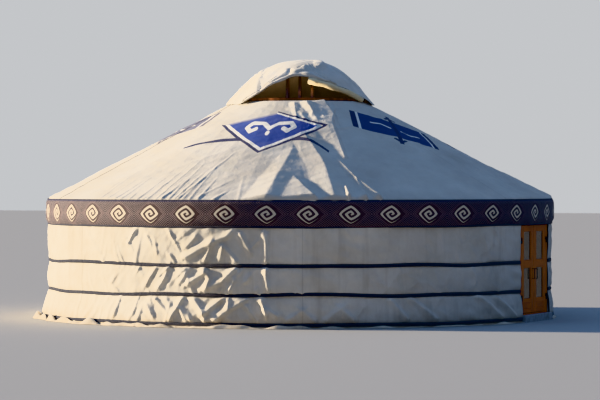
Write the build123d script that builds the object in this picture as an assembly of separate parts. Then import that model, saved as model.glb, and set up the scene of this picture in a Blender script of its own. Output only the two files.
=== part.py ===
from build123d import *
import math
import os

# A felt and canvas yurt with six lattice walls, a straight cone roof, a patterned eave band,
# a domed crown cover with one side folded open, and a glazed double door.
# Millimetres, +Z up, origin at the centre of the ground circle, the door faces -Y.
os.makedirs("parts", exist_ok=True)

# Driving dimensions
wallOuterRadius = 3480.0
coverThickness = 30.0
bandThickness = 48.0
eaveHeight = 1635.0
roofSlope = 27.4
wallSections = 6
baysPerSection = 9
doorBays = 3
baysPerGore = 19
roofLapBay = -4
bandPieces = 4
bandSides = 64

seat = 0.3
seamGap = 0.7

# Eave band
bandBottom = 1300.0

# Wall cover foot, which leans out to the ground
footFlare = 40.0
footHeight = 380.0

# Girths round the wall
girthWidth = 34.0
girthThickness = 14.0
upperGirthHeight = 800.0
lowerGirthHeight = 413.0
hemGirthHeight = 52.0

# Lattice
barWidth = 32.0
barThickness = 13.0
cellHeight = 540.0
forkLength = 75.0

# Roof poles and crown
poleFootWidth = 44.0
poleTipWidth = 30.0
crownRingRadius = 860.0
crownRingWidth = 80.0
crownRingHeight = 90.0
bowWidth = 34.0
bowThickness = 22.0
bowRise = 470.0
bowSpacing = 170.0
bowLayerGap = 12.0
bowSpans = 12
bowsEachWay = 3
roofTopGap = 30.0
crownCoverLap = 110.0
crownCoverThickness = 12.0
crownCoverRise = 640.0
crownCoverSides = 24
crownCoverTiers = ((1, 0), (0.87, 0.42), (0.69, 0.7), (0.44, 0.89), (0.14, 1))
hatchEdge = ((-0.74, 0), (-0.4, 0.39), (-0.07, 0.62), (0.24, 0.53), (0.56, 0.38), (0.82, 0.17), (0.96, 0))
hatchDirection = 203.0

# Door
frameSetback = 0.5
frameDepth = 110.0
jambWidth = 55.0
headHeight = 85.0
topRailHeight = 60.0
transomThickness = 22.0
thresholdTop = 110.0
leafGap = 5.0
leafThickness = 30.0
leafBottom = 120.0
leafTop = 1290.0
paneWidth = 300.0
glassThickness = 5.0
railMiddle = 775.0
railWidth = 85.0
topRailWidth = 70.0
panelTop = 300.0
panelMargin = 45.0
grooveWidth = 12.0
grooveDepth = 6.0
sillDepth = 80.0
sillHeight = 95.0
sillNose = 8.0
hingePinRadius = 5.0
hingeKnuckleRadius = 9.0
hingeLength = 80.0
hingePlateWidth = 30.0
hingePlateThickness = 3.0
pinClearance = 0.05
hingeHeights = (320.0, 1090.0)
pullLength = 140.0
pullReach = 38.0
pullWidth = 16.0
pullBar = 9.0
pullHeight = 640.0

# The cloth is flat between one pole and the next, so every ring of it has one side a bay
bays = wallSections * baysPerSection + doorBays
bayAngle = 360.0 / bays
halfBay = math.radians(bayAngle / 2)
doorDirection = -90.0
firstHead = doorDirection + doorBays / 2 * bayAngle

wallInnerRadius = wallOuterRadius - coverThickness
bandFlat = math.cos(math.pi / bandSides)
bandInnerRadius = (wallOuterRadius + 2 * seat) / bandFlat
bandOuterRadius = bandInnerRadius + bandThickness
roofEdgeRadius = wallOuterRadius + seat
roofTopRadius = crownRingRadius + crownRingWidth / 2 + roofTopGap
crownCoverRadius = roofTopRadius + crownCoverLap
slope = math.radians(roofSlope)
faceSlope = math.atan(math.tan(slope) / math.cos(halfBay))
coverRise = coverThickness / math.cos(slope)


def roofZ(radius):
    """Height of the roof's outer face above a pole, at a radius."""
    return eaveHeight + (bandOuterRadius - radius) * math.tan(slope)


def undersideZ(radius):
    """Height of the roof cover's inner face above a pole, at a radius."""
    return roofZ(radius) - coverRise


def column(radius, low, high):
    """A prism with one side a bay and a corner at each pole."""
    outline = RegularPolygon(radius, bays, rotation=firstHead)
    return Pos(0, 0, low) * extrude(outline, high - low)


def roofBody(drop, topRadius):
    """A many-sided pyramid under the roof's outer face, lowered by a drop."""
    outline = RegularPolygon(bandOuterRadius, bays, rotation=firstHead)
    rise = (bandOuterRadius - topRadius) * math.tan(slope)
    body = extrude(outline, rise, taper=90 - math.degrees(faceSlope))
    return Pos(0, 0, eaveHeight - drop) * body


def sector(start, sweep, low, high):
    """A wedge from the axis, anticlockwise from a direction in degrees."""
    reach = 2 * wallOuterRadius
    turns = [math.radians(start + share * sweep) for share in (0, 0.5, 1)]
    corners = [(reach * math.cos(turn), reach * math.sin(turn)) for turn in turns]
    return Pos(0, 0, low) * extrude(make_face(Polyline((0, 0), *corners, close=True)), high - low)


def baySector(firstBay, count, low, high):
    """A wedge that covers some bays, counted from the first head."""
    return sector(firstHead + firstBay * bayAngle, count * bayAngle, low, high)


def save(shape, name):
    shape.label = name
    export_step(shape, f"parts/{name}.step")


def group(solids):
    """Several solids that don't touch, as one shape."""
    return Compound(children=list(solids))


# Wall covers: one felt and canvas blanket over each lattice section
def wallBody(radius):
    """A column whose foot leans out to the ground."""
    foot = extrude(
        RegularPolygon(radius + footFlare, bays, rotation=firstHead),
        footHeight,
        taper=math.degrees(math.atan2(footFlare * math.cos(halfBay), footHeight)),
    )
    return foot + column(radius, 0, roofZ(wallInnerRadius))


def footLean(height):
    """How far the wall cover's foot stands out at a height."""
    return footFlare * max(0, 1 - height / footHeight)


def wallRing():
    ring = wallBody(wallOuterRadius) - wallBody(wallInnerRadius)
    shoulder = eaveHeight - coverRise - seat
    below = column(bandOuterRadius, 0, shoulder) + roofBody(coverRise + seat, roofTopRadius)
    return ring & below


# Roof covers: gores of felt and canvas that lie on the poles
def roofShell():
    shell = roofBody(0, roofTopRadius / 2) - roofBody(coverRise, roofTopRadius / 2)
    shell -= column(roofTopRadius, 0, roofZ(0))
    return shell & column(roofEdgeRadius, 0, roofZ(0))


# Eave band: the roof's turned-down felt edge with the patterned belt sewn on
def bandPrism(radius, low, high):
    return Pos(0, 0, low) * extrude(RegularPolygon(radius, bandSides), high - low)


def bandRing():
    drop = bandThickness * bandFlat
    cap = extrude(
        RegularPolygon(bandOuterRadius, bandSides),
        drop * math.tan(slope),
        taper=90 - roofSlope,
    )
    body = bandPrism(bandOuterRadius, bandBottom, eaveHeight) + Pos(0, 0, eaveHeight) * cap
    return body - bandPrism(bandInnerRadius, bandBottom, roofZ(0))


def bandSector(index):
    """The wedge of one piece of the band, counted from the one over the door."""
    sweep = 360.0 / bandPieces
    return sector(doorDirection + (index - 0.5) * sweep, sweep, bandBottom, roofZ(0))


# Girths: three woven straps that run from jamb to jamb
def girth(height):
    low, high = height - girthWidth / 2, height + girthWidth / 2
    inner = wallOuterRadius + footLean(low) + seat
    ring = column(inner + girthThickness, low, high) - column(inner, low, high)
    return ring - baySector(-doorBays, doorBays, low, high)


# Lattice: two layers of laths that cross, bent a little at each head
latticeVertex = wallInnerRadius - seat
latticeOuter = latticeVertex * math.cos(halfBay)
facetHalfWidth = latticeVertex * math.sin(halfBay)
barLean = math.atan2(cellHeight, 2 * facetHalfWidth)
barHalfRise = barWidth / math.cos(barLean) / 2
poleFootRadius = latticeVertex - barThickness

# A pole's foot lies in the fork above each head, on its lower flat
poleBottom = (
    undersideZ(poleFootRadius)
    - (seamGap + poleFootWidth / 2) / math.cos(slope)
    - poleFootWidth / 2 * math.cos(slope)
)
poleFlat = poleFootWidth * math.tan(math.radians(30)) / 2
headCrossing = (
    poleBottom - barHalfRise - (poleFlat * math.sin(barLean) + seat) / math.cos(barLean)
)
latticeTop = headCrossing + forkLength


def latticeBay():
    """The laths of one bay, about the X axis, in two layers that meet face to face."""
    wedge = Polyline(
        (0, 0), (latticeOuter, facetHalfWidth), (latticeOuter, -facetHalfWidth), close=True
    )
    window = extrude(make_face(wedge), latticeTop)
    reach = 2 * facetHalfWidth
    rows = math.ceil(latticeTop / cellHeight) + 1
    bars = []
    for layer, side in ((0, 1), (1, -1)):
        face = latticeOuter - layer * barThickness
        plane = Plane(origin=(face, 0, 0), x_dir=(0, 1, 0), z_dir=(1, 0, 0))
        for row in range(-1, rows):
            middle = headCrossing - (row - 0.5) * cellHeight
            outline = Polyline(
                (-side * reach, middle - cellHeight - barHalfRise),
                (side * reach, middle + cellHeight - barHalfRise),
                (side * reach, middle + cellHeight + barHalfRise),
                (-side * reach, middle - cellHeight + barHalfRise),
                close=True,
            )
            bar = extrude(make_face(plane * outline), -barThickness) & window
            if bar.volume > 0:
                bars.extend(bar.solids())
    return bars


def latticeSection():
    """The laths of one section, fused where they cross, starting at the X axis."""
    facet = latticeBay()
    bars = [
        Rot(0, 0, (bay + 0.5) * bayAngle) * bar for bay in range(baysPerSection) for bar in facet
    ]
    return bars[0].fuse(*bars[1:])


# Roof poles: six-sided rafters that taper towards the crown
poleRun = poleFootRadius - crownRingRadius - crownRingWidth / 2
poleLength = poleRun / math.cos(slope) + poleTipWidth
poleTaper = math.atan2((poleFootWidth - poleTipWidth) / 2, poleLength)


def roofPole(head):
    """A pole whose upper flat lies along the roof cover and whose tip meets the ring."""
    z = undersideZ(poleFootRadius) - (seamGap + poleFootWidth / 2) / math.cos(slope)
    rise = slope + poleTaper
    plane = Plane(
        origin=(poleFootRadius, 0, z),
        x_dir=(0, 1, 0),
        z_dir=(-math.cos(rise), 0, math.sin(rise)),
    )
    section = RegularPolygon(poleFootWidth / 2, 6, major_radius=False)
    pole = extrude(plane * section, poleLength, taper=math.degrees(poleTaper))
    tipCut = column(crownRingRadius + crownRingWidth / 2 + seat, 0, roofZ(0))
    return Rot(0, 0, firstHead + head * bayAngle) * pole - tipCut


# Crown: a bent wood ring with two crossing sets of arched bows
crownRingTop = roofZ(crownRingRadius)


def crownRing():
    low = crownRingTop - crownRingHeight
    outer = column(crownRingRadius + crownRingWidth / 2, low, crownRingTop)
    return outer - column(crownRingRadius - crownRingWidth / 2, low, crownRingTop)


def bow(offset, layer):
    """One arched bow above the ring, along X, at a distance from the middle."""
    half = math.sqrt(crownRingRadius**2 - offset**2)
    rise = bowRise * (half / crownRingRadius) ** 2 - layer * (bowThickness + bowLayerGap)
    base = crownRingTop + seat
    shares = [-1 + 2 * i / bowSpans for i in range(bowSpans + 1)]
    upper = [(half * x, base + rise * (1 - x * x)) for x in shares]
    lower = [
        ((half - bowThickness) * x, base + (rise - bowThickness) * (1 - x * x))
        for x in reversed(shares)
    ]
    plane = Plane(origin=(0, offset, 0), x_dir=(1, 0, 0), z_dir=(0, -1, 0))
    outline = make_face(Polyline(*upper, *lower, close=True))
    return extrude(plane * outline, bowWidth / 2, both=True)


def crownBows(layer):
    places = [(i - (bowsEachWay - 1) / 2) * bowSpacing for i in range(bowsEachWay)]
    return [Rot(0, 0, hatchDirection + 90 * layer) * bow(place, layer) for place in places]


# Crown cover: a cap stretched over the bows, with the side towards the hatch folded open
def capBody(radius, rise):
    """Stacked tiers that narrow towards the top."""
    flatShare = math.cos(math.pi / crownCoverSides)
    body = None
    for (r0, z0), (r1, z1) in zip(crownCoverTiers, crownCoverTiers[1:]):
        inset, height = radius * (r0 - r1) * flatShare, rise * (z1 - z0)
        tier = Pos(0, 0, rise * z0) * extrude(
            RegularPolygon(radius * r0, crownCoverSides),
            height,
            taper=math.degrees(math.atan2(inset, height)),
        )
        body = tier if body is None else body + tier
    return body


def crownCover():
    inner = crownCoverRadius - crownCoverThickness
    shell = capBody(crownCoverRadius, crownCoverRise)
    shell -= capBody(inner, crownCoverRise - crownCoverThickness)
    plane = Plane(origin=(0, 0, 0), x_dir=(0, 1, 0), z_dir=(1, 0, 0))
    outline = [(crownCoverRadius * y, crownCoverRise * z) for y, z in hatchEdge]
    hatch = make_face(plane * Polyline(*outline, close=True))
    shell -= extrude(hatch, 2 * crownCoverRadius, dir=(1, 0, 0))
    base = roofZ(inner * math.cos(math.pi / crownCoverSides)) + seat
    return Pos(0, 0, base) * Rot(0, 0, hatchDirection) * shell


# Door frame, leaves, glass, hinges and pulls
def block(x0, x1, y0, y1, z0, z1):
    return Pos((x0 + x1) / 2, (y0 + y1) / 2, (z0 + z1) / 2) * Box(x1 - x0, y1 - y0, z1 - z0)


latticeInner = latticeVertex - 2 * barThickness / math.cos(halfBay)
frameWidth = 2 * (latticeInner * math.sin(doorBays * halfBay) - seat)
frameFront = math.sqrt(wallOuterRadius**2 - (frameWidth / 2) ** 2) - frameSetback
frameBack = -frameFront + frameDepth


def doorFrame():
    half, front = frameWidth / 2, -frameFront
    frame = block(-half, half, front, frameBack, 0, poleBottom - seat)
    clear = half - jambWidth
    headBottom = leafTop + leafGap
    frame -= block(-clear, clear, front, frameBack, thresholdTop, headBottom)
    middle = (front + frameBack) / 2
    low, high = headBottom + headHeight, poleBottom - seat - topRailHeight
    frame -= block(-clear, clear, front, middle - transomThickness / 2, low, high)
    frame -= block(-clear, clear, middle + transomThickness / 2, frameBack, low, high)
    return frame


def doorSill():
    half = frameWidth / 2
    front = -frameFront - sillDepth
    step = block(-half, half, front, -frameFront - seat, 0, sillHeight)
    nose = step.edges().filter_by(Axis.X).group_by(Axis.Z)[-1].sort_by(Axis.Y)[0]
    return fillet(nose, sillNose)


def paneHeights():
    return (
        (panelTop, railMiddle - railWidth / 2),
        (railMiddle + railWidth / 2, leafTop - topRailWidth),
    )


leafWidth = frameWidth / 2 - jambWidth - 2 * leafGap


def paneSpan():
    """The panes' sides, measured from the leaf's hinge edge."""
    side = (leafWidth - paneWidth) / 2
    return side, side + paneWidth


def doorLeaf(side):
    """side is -1 for the leaf on the left seen from outside, and 1 for the right."""
    edge = frameWidth / 2 - jambWidth - leafGap
    leaf = block(0, leafWidth, -frameFront, -frameFront + leafThickness, leafBottom, leafTop)
    p0, p1 = paneSpan()
    for z0, z1 in paneHeights():
        leaf -= block(p0, p1, -frameFront, -frameFront + leafThickness, z0, z1)
    low, high = leafBottom + panelMargin, panelTop - panelMargin
    groove = block(p0, p1, -frameFront, -frameFront + grooveDepth, low, high)
    field = [p0 + grooveWidth, p1 - grooveWidth], [low + grooveWidth, high - grooveWidth]
    groove -= block(*field[0], -frameFront, -frameFront + grooveDepth, *field[1])
    leaf = Pos(-edge, 0, 0) * (leaf - groove)
    return leaf if side < 0 else mirror(leaf, Plane.YZ)


def doorGlass(side):
    edge = frameWidth / 2 - jambWidth - leafGap
    middle = -frameFront + leafThickness / 2
    p0, p1 = paneSpan()
    panes = [
        Pos(-edge, 0, 0) * block(
            p0 + seat, p1 - seat,
            middle - glassThickness / 2, middle + glassThickness / 2,
            z0 + seat, z1 - seat,
        )
        for z0, z1 in paneHeights()
    ]
    return group(panes if side < 0 else [mirror(p, Plane.YZ) for p in panes])


hingeX = frameWidth / 2 - jambWidth - leafGap / 2
hingeY = -frameFront - seat - hingeKnuckleRadius


def hingeHalves(side):
    """The frame half with its pin, and the leaf half with its bore, at both heights."""
    frameHalves, leafHalves = [], []
    for z in hingeHeights:
        half = hingeLength / 2
        plateBack = -frameFront - seat
        plateFront = plateBack - hingePlateThickness
        knuckle = Pos(-hingeX, hingeY, z) * Cylinder(
            hingeKnuckleRadius, half, align=(Align.CENTER, Align.CENTER, Align.MAX)
        )
        pin = Pos(-hingeX, hingeY, z - half) * Cylinder(
            hingePinRadius, hingeLength, align=(Align.CENTER, Align.CENTER, Align.MIN)
        )
        plate = block(
            -hingeX - hingePlateWidth, -hingeX, plateFront, plateBack, z - half, z
        )
        frameHalves.append(knuckle + pin + plate)
        upper = Pos(-hingeX, hingeY, z + seat) * Cylinder(
            hingeKnuckleRadius, half, align=(Align.CENTER, Align.CENTER, Align.MIN)
        )
        upperPlate = block(
            -hingeX, -hingeX + hingePlateWidth, plateFront, plateBack,
            z + seat, z + seat + half,
        )
        bore = Pos(-hingeX, hingeY, z) * Cylinder(
            hingePinRadius + pinClearance, hingeLength,
            align=(Align.CENTER, Align.CENTER, Align.MIN),
        )
        leafHalves.append(upper + upperPlate - bore)
    if side > 0:
        frameHalves = [mirror(h, Plane.YZ) for h in frameHalves]
        leafHalves = [mirror(h, Plane.YZ) for h in leafHalves]
    return group(frameHalves), group(leafHalves)


def doorPull(side):
    """A bowed pull of flat bar on the meeting stile."""
    x = -(frameWidth / 2 - jambWidth - leafGap - leafWidth) - (leafWidth - paneWidth) / 4
    y = -frameFront - seat
    pull = block(
        x - pullWidth / 2, x + pullWidth / 2, y - pullReach, y,
        pullHeight - pullLength / 2, pullHeight + pullLength / 2,
    )
    pull -= block(
        x - pullWidth / 2, x + pullWidth / 2, y - pullReach + pullBar, y,
        pullHeight - pullLength / 2 + pullBar, pullHeight + pullLength / 2 - pullBar,
    )
    return pull if side < 0 else mirror(pull, Plane.YZ)


tall = roofZ(0)
walls, roof, laths = wallRing(), roofShell(), latticeSection()
for index in range(wallSections):
    first = index * baysPerSection
    save(walls & baySector(first, baysPerSection, 0, tall), f"wall_cover_{index + 1}")
    save(Rot(0, 0, firstHead + first * bayAngle) * laths, f"lattice_{index + 1}")

# Each section carries the poles of its own heads, and the last one also that of its far end
for index in range(wallSections):
    first = index * baysPerSection
    end = first + baysPerSection + (index == wallSections - 1)
    save(group(roofPole(head) for head in range(first, end)), f"roof_poles_{index + 1}")
save(group(roofPole(head) for head in range(1 - doorBays, 0)), "roof_poles_door")

for index in range(bays // baysPerGore):
    gore = roof & baySector(roofLapBay + index * baysPerGore, baysPerGore, 0, tall)
    save(gore, f"roof_cover_{index + 1}")

band = bandRing()
for index in range(bandPieces):
    save(band & bandSector(index), f"eave_band_{index + 1}")

save(girth(upperGirthHeight), "girth_upper")
save(girth(lowerGirthHeight), "girth_lower")
save(girth(hemGirthHeight), "girth_hem")

save(crownRing(), "crown_ring")
for layer in (0, 1):
    save(group(crownBows(layer)), f"crown_bows_{layer + 1}")
save(crownCover(), "crown_cover")

save(doorFrame(), "door_frame")
save(doorSill(), "door_sill")
for side, word in ((-1, "left"), (1, "right")):
    save(doorLeaf(side), f"door_leaf_{word}")
    save(doorGlass(side), f"door_glass_{word}")
    frameHalf, leafHalf = hingeHalves(side)
    save(frameHalf, f"hinge_frame_{word}")
    save(leafHalf, f"hinge_leaf_{word}")
    save(doorPull(side), f"door_pull_{word}")
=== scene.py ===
import bpy
import bmesh
import math
import random
import numpy as np
from mathutils import Matrix, Vector


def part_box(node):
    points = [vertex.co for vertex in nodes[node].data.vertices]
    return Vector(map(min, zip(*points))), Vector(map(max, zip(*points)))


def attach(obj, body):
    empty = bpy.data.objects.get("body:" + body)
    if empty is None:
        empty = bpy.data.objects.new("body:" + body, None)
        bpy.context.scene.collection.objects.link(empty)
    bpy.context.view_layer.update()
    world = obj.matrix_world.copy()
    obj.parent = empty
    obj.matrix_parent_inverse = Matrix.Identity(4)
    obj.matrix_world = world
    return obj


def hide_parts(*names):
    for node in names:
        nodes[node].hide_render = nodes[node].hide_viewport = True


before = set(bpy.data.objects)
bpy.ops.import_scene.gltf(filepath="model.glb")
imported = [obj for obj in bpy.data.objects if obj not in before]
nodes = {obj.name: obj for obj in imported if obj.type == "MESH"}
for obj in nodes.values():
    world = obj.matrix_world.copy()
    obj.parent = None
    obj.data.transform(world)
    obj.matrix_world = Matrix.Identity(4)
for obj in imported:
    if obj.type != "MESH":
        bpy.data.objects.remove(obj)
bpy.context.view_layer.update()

# Main sizes, in metres and degrees; what isn't here is read from the frame
yurt = {
    "wallRadius": 3.48,
    "roofSlope": 27.4,
    "eaveHeight": 1.635,
    "bays": 57,
    "doorBays": 3,
    "sectionBays": 9,
    "sections": 6,
    "gores": 3,
    "goreBays": 19,
    "roofLapBay": -4,
    "footLean": 0.04,
    "footHeight": 0.38,
    "doorDirection": -90.0,
    "viewDirection": 203.5,
    "hatchDirection": 203.0,
}
wallRadius = yurt["wallRadius"]
slope = math.radians(yurt["roofSlope"])
bayAngle = math.radians(360 / yurt["bays"])
firstHead = math.radians(yurt["doorDirection"]) + yurt["doorBays"] / 2 * bayAngle
bandRadius = -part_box("eave_band_1")[0].y
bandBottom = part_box("eave_band_1")[0].z
girthHeights = [(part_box(n)[0].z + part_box(n)[1].z) / 2 for n in ("girth_upper", "girth_lower", "girth_hem")]
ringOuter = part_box("crown_ring")[1].x
roofTopRadius = ringOuter + 0.03
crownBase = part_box("crown_cover")[0].z
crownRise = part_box("crown_cover")[1].z - crownBase
frameLow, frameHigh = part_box("door_frame")


def toLinear(hexCode):
    channels = [int(hexCode[i:i + 2], 16) / 255 for i in (1, 3, 5)]
    return (*[c / 12.92 if c <= 0.04045 else ((c + 0.055) / 1.055) ** 2.4 for c in channels], 1.0)


def setInput(tree, socket, value):
    if isinstance(value, bpy.types.NodeSocket):
        tree.links.new(value, socket)
    else:
        socket.default_value = value


def addNode(tree, kind, inputs=(), output=0, **settings):
    # kind may end in an operation, and one output socket of the new node is given back
    kind, _, operation = kind.partition(" ")
    node = tree.nodes.new("ShaderNode" + kind)
    if operation:
        node.operation = operation
    for name, value in settings.items():
        setattr(node, name, value)
    for socket, value in (inputs.items() if isinstance(inputs, dict) else enumerate(inputs)):
        setInput(tree, node.inputs[socket], value)
    return node.outputs[output]


def newMaterial(name, paint, **inputs):
    # paint(tree) gives the colour, and the normal or None
    material = bpy.data.materials.new(name)
    material.use_nodes = True
    tree = material.node_tree
    shader = tree.nodes["Principled BSDF"]
    colour, normal = paint(tree)
    for socket, value in {**inputs, "Base_Color": colour, "Normal": normal}.items():
        if value is not None:
            setInput(tree, shader.inputs[socket.replace("_", " ")], value)
    return material


def layPaint(tree, colour, *layers):
    # paints laid over a colour, each by its mask; a colour is a hex code or a socket
    for mask, paint in layers:
        under, over = [toLinear(c) if isinstance(c, str) else c for c in (colour, paint)]
        colour = addNode(tree, "Mix", {0: mask, 6: under, 7: over}, output=2, data_type="RGBA")
    return colour


def patches(tree, place, scale, detail, low, high, most=1.0, rough=0.5):
    # noise as a share, from none at its low level to the most at its high level
    noise = addNode(tree, "TexNoise", {"Vector": place, "Scale": scale, "Detail": detail, "Roughness": rough})
    return addNode(tree, "MapRange", [noise, low, high, 0.0, most])


def allOf(tree, *tests):
    # 1 where every test holds; a test is a mask, or a value, a sign and a limit
    kinds = {"<": "Math LESS_THAN", ">": "Math GREATER_THAN"}
    masks = [addNode(tree, kinds[t[1]], [t[0], t[2]]) if isinstance(t, tuple) else t for t in tests]
    product = masks[0]
    for mask in masks[1:]:
        product = addNode(tree, "Math MULTIPLY", [product, mask])
    return product


def noiseBump(tree, place, *layers):
    # each layer has its noise, strength and depth in metres, from coarse to fine
    below = {}
    for noise, strength, depth in layers:
        height = addNode(tree, "TexNoise", {"Vector": place, **noise})
        below = {"Normal": addNode(tree, "Bump", {"Height": height, "Strength": strength, "Distance": depth, **below})}
    return below.get("Normal")


def mottled(name, light, dark, scale, detail, rough=0.5, low=0.0, high=1.0, bumps=(), **inputs):
    # one colour with patches of another
    def paint(tree):
        place = addNode(tree, "TexCoord", output="Object")
        share = patches(tree, place, scale, detail, low, high, rough=rough)
        return layPaint(tree, light, (share, dark)), noiseBump(tree, place, *bumps)
    return newMaterial(name, paint, **inputs)


def roundPlace(tree, place):
    # distance from the yurt's axis, angle round it and height
    x, y, z = addNode(tree, "SeparateXYZ", [place]).node.outputs
    flat = addNode(tree, "CombineXYZ", [x, y, 0.0])
    radius = addNode(tree, "VectorMath LENGTH", [flat], output="Value")
    return radius, addNode(tree, "Math ARCTAN2", [y, x]), z


# Cloth relief, in metres, worked out on arrays of points
def swell(x, y, z, perMetre, seed, waves=14):
    # a smooth random field about zero, the same on every run
    draw = np.random.default_rng(seed)
    total = np.zeros_like(x)
    for _ in range(waves):
        way = draw.normal(size=3)
        way *= perMetre * draw.uniform(0.6, 1.5) / np.linalg.norm(way)
        total += np.sin(2 * math.pi * (way[0] * x + way[1] * y + way[2] * z) + draw.uniform(0, 6.28))
    return total / math.sqrt(waves / 2)


def tent(x):
    # straight slopes between sharp creases, from 0 to 1
    return np.abs((x % 1.0) - 0.5) * 2


def facing(angle, direction, spread):
    # 1 towards a direction in degrees, and less away from it
    return np.exp(-((np.cos(angle - math.radians(direction)) - 1) / spread) ** 2)


def polar(radius, angle, height):
    return radius * np.cos(angle), radius * np.sin(angle), height


def creaseRelief(x, y, creases):
    # a crease has a path, and at its start and end a width to its left, a width to its right and a height
    total = np.zeros_like(x)
    for path, left, right, height in creases:
        reach = max(*left, *right)
        xs, ys = [p[0] for p in path], [p[1] for p in path]
        near = (x > min(xs) - reach) & (x < max(xs) + reach) & (y > min(ys) - reach) & (y < max(ys) + reach)
        if not near.any():
            continue
        px, py = x[near], y[near]
        lengths = [math.dist(a, b) for a, b in zip(path, path[1:])]
        crest, done = np.zeros_like(px), 0.0
        for (x0, y0), (x1, y1), length in zip(path, path[1:], lengths):
            dx, dy = (x1 - x0) / length, (y1 - y0) / length
            along = np.clip((px - x0) * dx + (py - y0) * dy, 0, length)
            off = np.hypot(px - x0 - along * dx, py - y0 - along * dy)
            onLeft = (py - y0) * dx - (px - x0) * dy > 0
            share = (done + along) / sum(lengths)
            width = np.where(onLeft, left[0] + (left[1] - left[0]) * share, right[0] + (right[1] - right[0]) * share)
            tall = height[0] + (height[1] - height[0]) * share
            crest = np.maximum(crest, tall * np.clip(1 - off / width, 0, 1) ** 1.12)
            done += length
        total[near] += crest
    return total


def facetDip(angle, radius):
    # the cloth is flat between one pole and the next
    fromMiddle = ((angle - firstHead) / bayAngle % 1 - 0.5) * bayAngle
    return radius * (1 - math.cos(bayAngle / 2) / np.cos(fromMiddle))


def addObject(name, data):
    made = bpy.data.objects.new(name, data)
    bpy.context.scene.collection.objects.link(made)
    return made


def meshPiece(name, bm, smooth=False):
    mesh = bpy.data.meshes.new(name)
    bm.to_mesh(mesh)
    bm.free()
    mesh.polygons.foreach_set("use_smooth", np.full(len(mesh.polygons), smooth))
    return addObject(name, mesh)


def makeSheet(name, columns, rows, size, place, closed=False):
    # a flat grid with its own measure in metres as UV, shaped by place(across, up)
    bm = bmesh.new()
    bmesh.ops.create_grid(bm, x_segments=columns, y_segments=rows, size=0.5)
    piece = meshPiece(name, bm, smooth=True)
    mesh = piece.data
    flat = np.empty(len(mesh.vertices) * 3)
    mesh.vertices.foreach_get("co", flat)
    flat = flat.reshape(-1, 3)[:, :2] + 0.5
    corners = np.empty(len(mesh.loops), int)
    mesh.loops.foreach_get("vertex_index", corners)
    uv = mesh.uv_layers.new(name="UVMap")
    uv.data.foreach_set("uv", (flat[corners] * size).ravel())
    edge = mesh.attributes.new("edge", "FLOAT", "POINT")
    edge.data.foreach_set("value", np.minimum(flat[:, 0], 1 - flat[:, 0]) * size[0])
    points = np.stack(place(flat[:, 0], flat[:, 1]), axis=1)
    mesh.vertices.foreach_set("co", points.ravel())
    if closed:
        bm = bmesh.new()
        bm.from_mesh(mesh)
        bmesh.ops.remove_doubles(bm, verts=bm.verts, dist=1e-5)
        bm.to_mesh(mesh)
        bm.free()
    mesh.update()
    return piece


def dress(piece, material, body="yurt", stands=()):
    piece.data.materials.append(material)
    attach(piece, body)
    if stands:
        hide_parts(*stands)
    return piece


def thicken(piece, thickness):
    layer = piece.modifiers.new("thickness", "SOLIDIFY")
    layer.thickness = thickness
    layer.offset = 1.0


# Cotton canvas: plain weave, matt, cream white, greyed by dust and rain
canvasLook = {
    "light": "#ece6da",
    "grey": "#d2cabb",
    "dust": "#a8957a",
    "rain": "#b9ae9b",
    "earth": "#c2aa82",
    "smoke": "#a79f92",
    # thread colour, also the painted shadow of the turned edge
    "threadAndShadow": "#8d8474",
    "seam": 0.022,
    "creases": ({"Scale": 1 / 0.11, "Detail": 4, "Roughness": 0.55, "Distortion": 0.6}, 0.2, 0.03),
    # real threads are under 1 mm; drawn at 4 mm, so that close views show them
    "weave": ({"Scale": 1 / 0.004, "Detail": 1}, 0.2, 0.001),
    "finish": {"Roughness": 0.86, "Sheen_Weight": 0.12},
}


def canvasColour(tree, place):
    # cloudy greying and small specks
    clouds = patches(tree, place, 1.7, 6, 0.35, 0.75, rough=0.62)
    specks = patches(tree, place, 38, 3, 0.70, 0.9, 0.12, rough=0.7)
    return layPaint(tree, canvasLook["light"], (clouds, canvasLook["grey"]), (specks, canvasLook["dust"]))


def canvasNormal(tree, place):
    # creases too small for the mesh, and threads
    return noiseBump(tree, place, canvasLook["creases"], canvasLook["weave"])


def stitchesAndPaintedShadow(tree):
    # the sewn line beside each side edge, darkened both as thread and as painted shadow of the turned edge
    edge = addNode(tree, "Attribute", output="Fac", attribute_name="edge")
    seam = addNode(tree, "Math SUBTRACT", [edge, canvasLook["seam"]])
    near = addNode(tree, "Math ABSOLUTE", [seam])
    return addNode(tree, "MapRange", [near, 0.002, 0.007, 0.28, 0])


def wallPaint(tree):
    place = addNode(tree, "TexCoord", output="Object")
    # rain has drawn faint streaks down the wall
    drawn = addNode(tree, "Mapping", {"Vector": place, "Scale": (9, 9, 0.7)})
    streaks = patches(tree, drawn, 1.0, 3, 0.52, 0.78, 0.4)
    # earth has splashed up near the ground
    splash = addNode(tree, "TexNoise", {"Vector": place, "Scale": 9, "Detail": 5, "Roughness": 0.7})
    z = addNode(tree, "SeparateXYZ", [place], output="Z")
    height = addNode(tree, "Math MULTIPLY_ADD", [splash, -0.26, z])
    dirt = addNode(tree, "MapRange", [height, -0.12, 0.05, 0.42, 0])
    # the sewn lines carry painted shadow of the turned edges
    colour = layPaint(tree, canvasColour(tree, place), (streaks, canvasLook["rain"]), (dirt, canvasLook["earth"]),
                      (stitchesAndPaintedShadow(tree), canvasLook["threadAndShadow"]))
    return colour, canvasNormal(tree, place)


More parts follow.
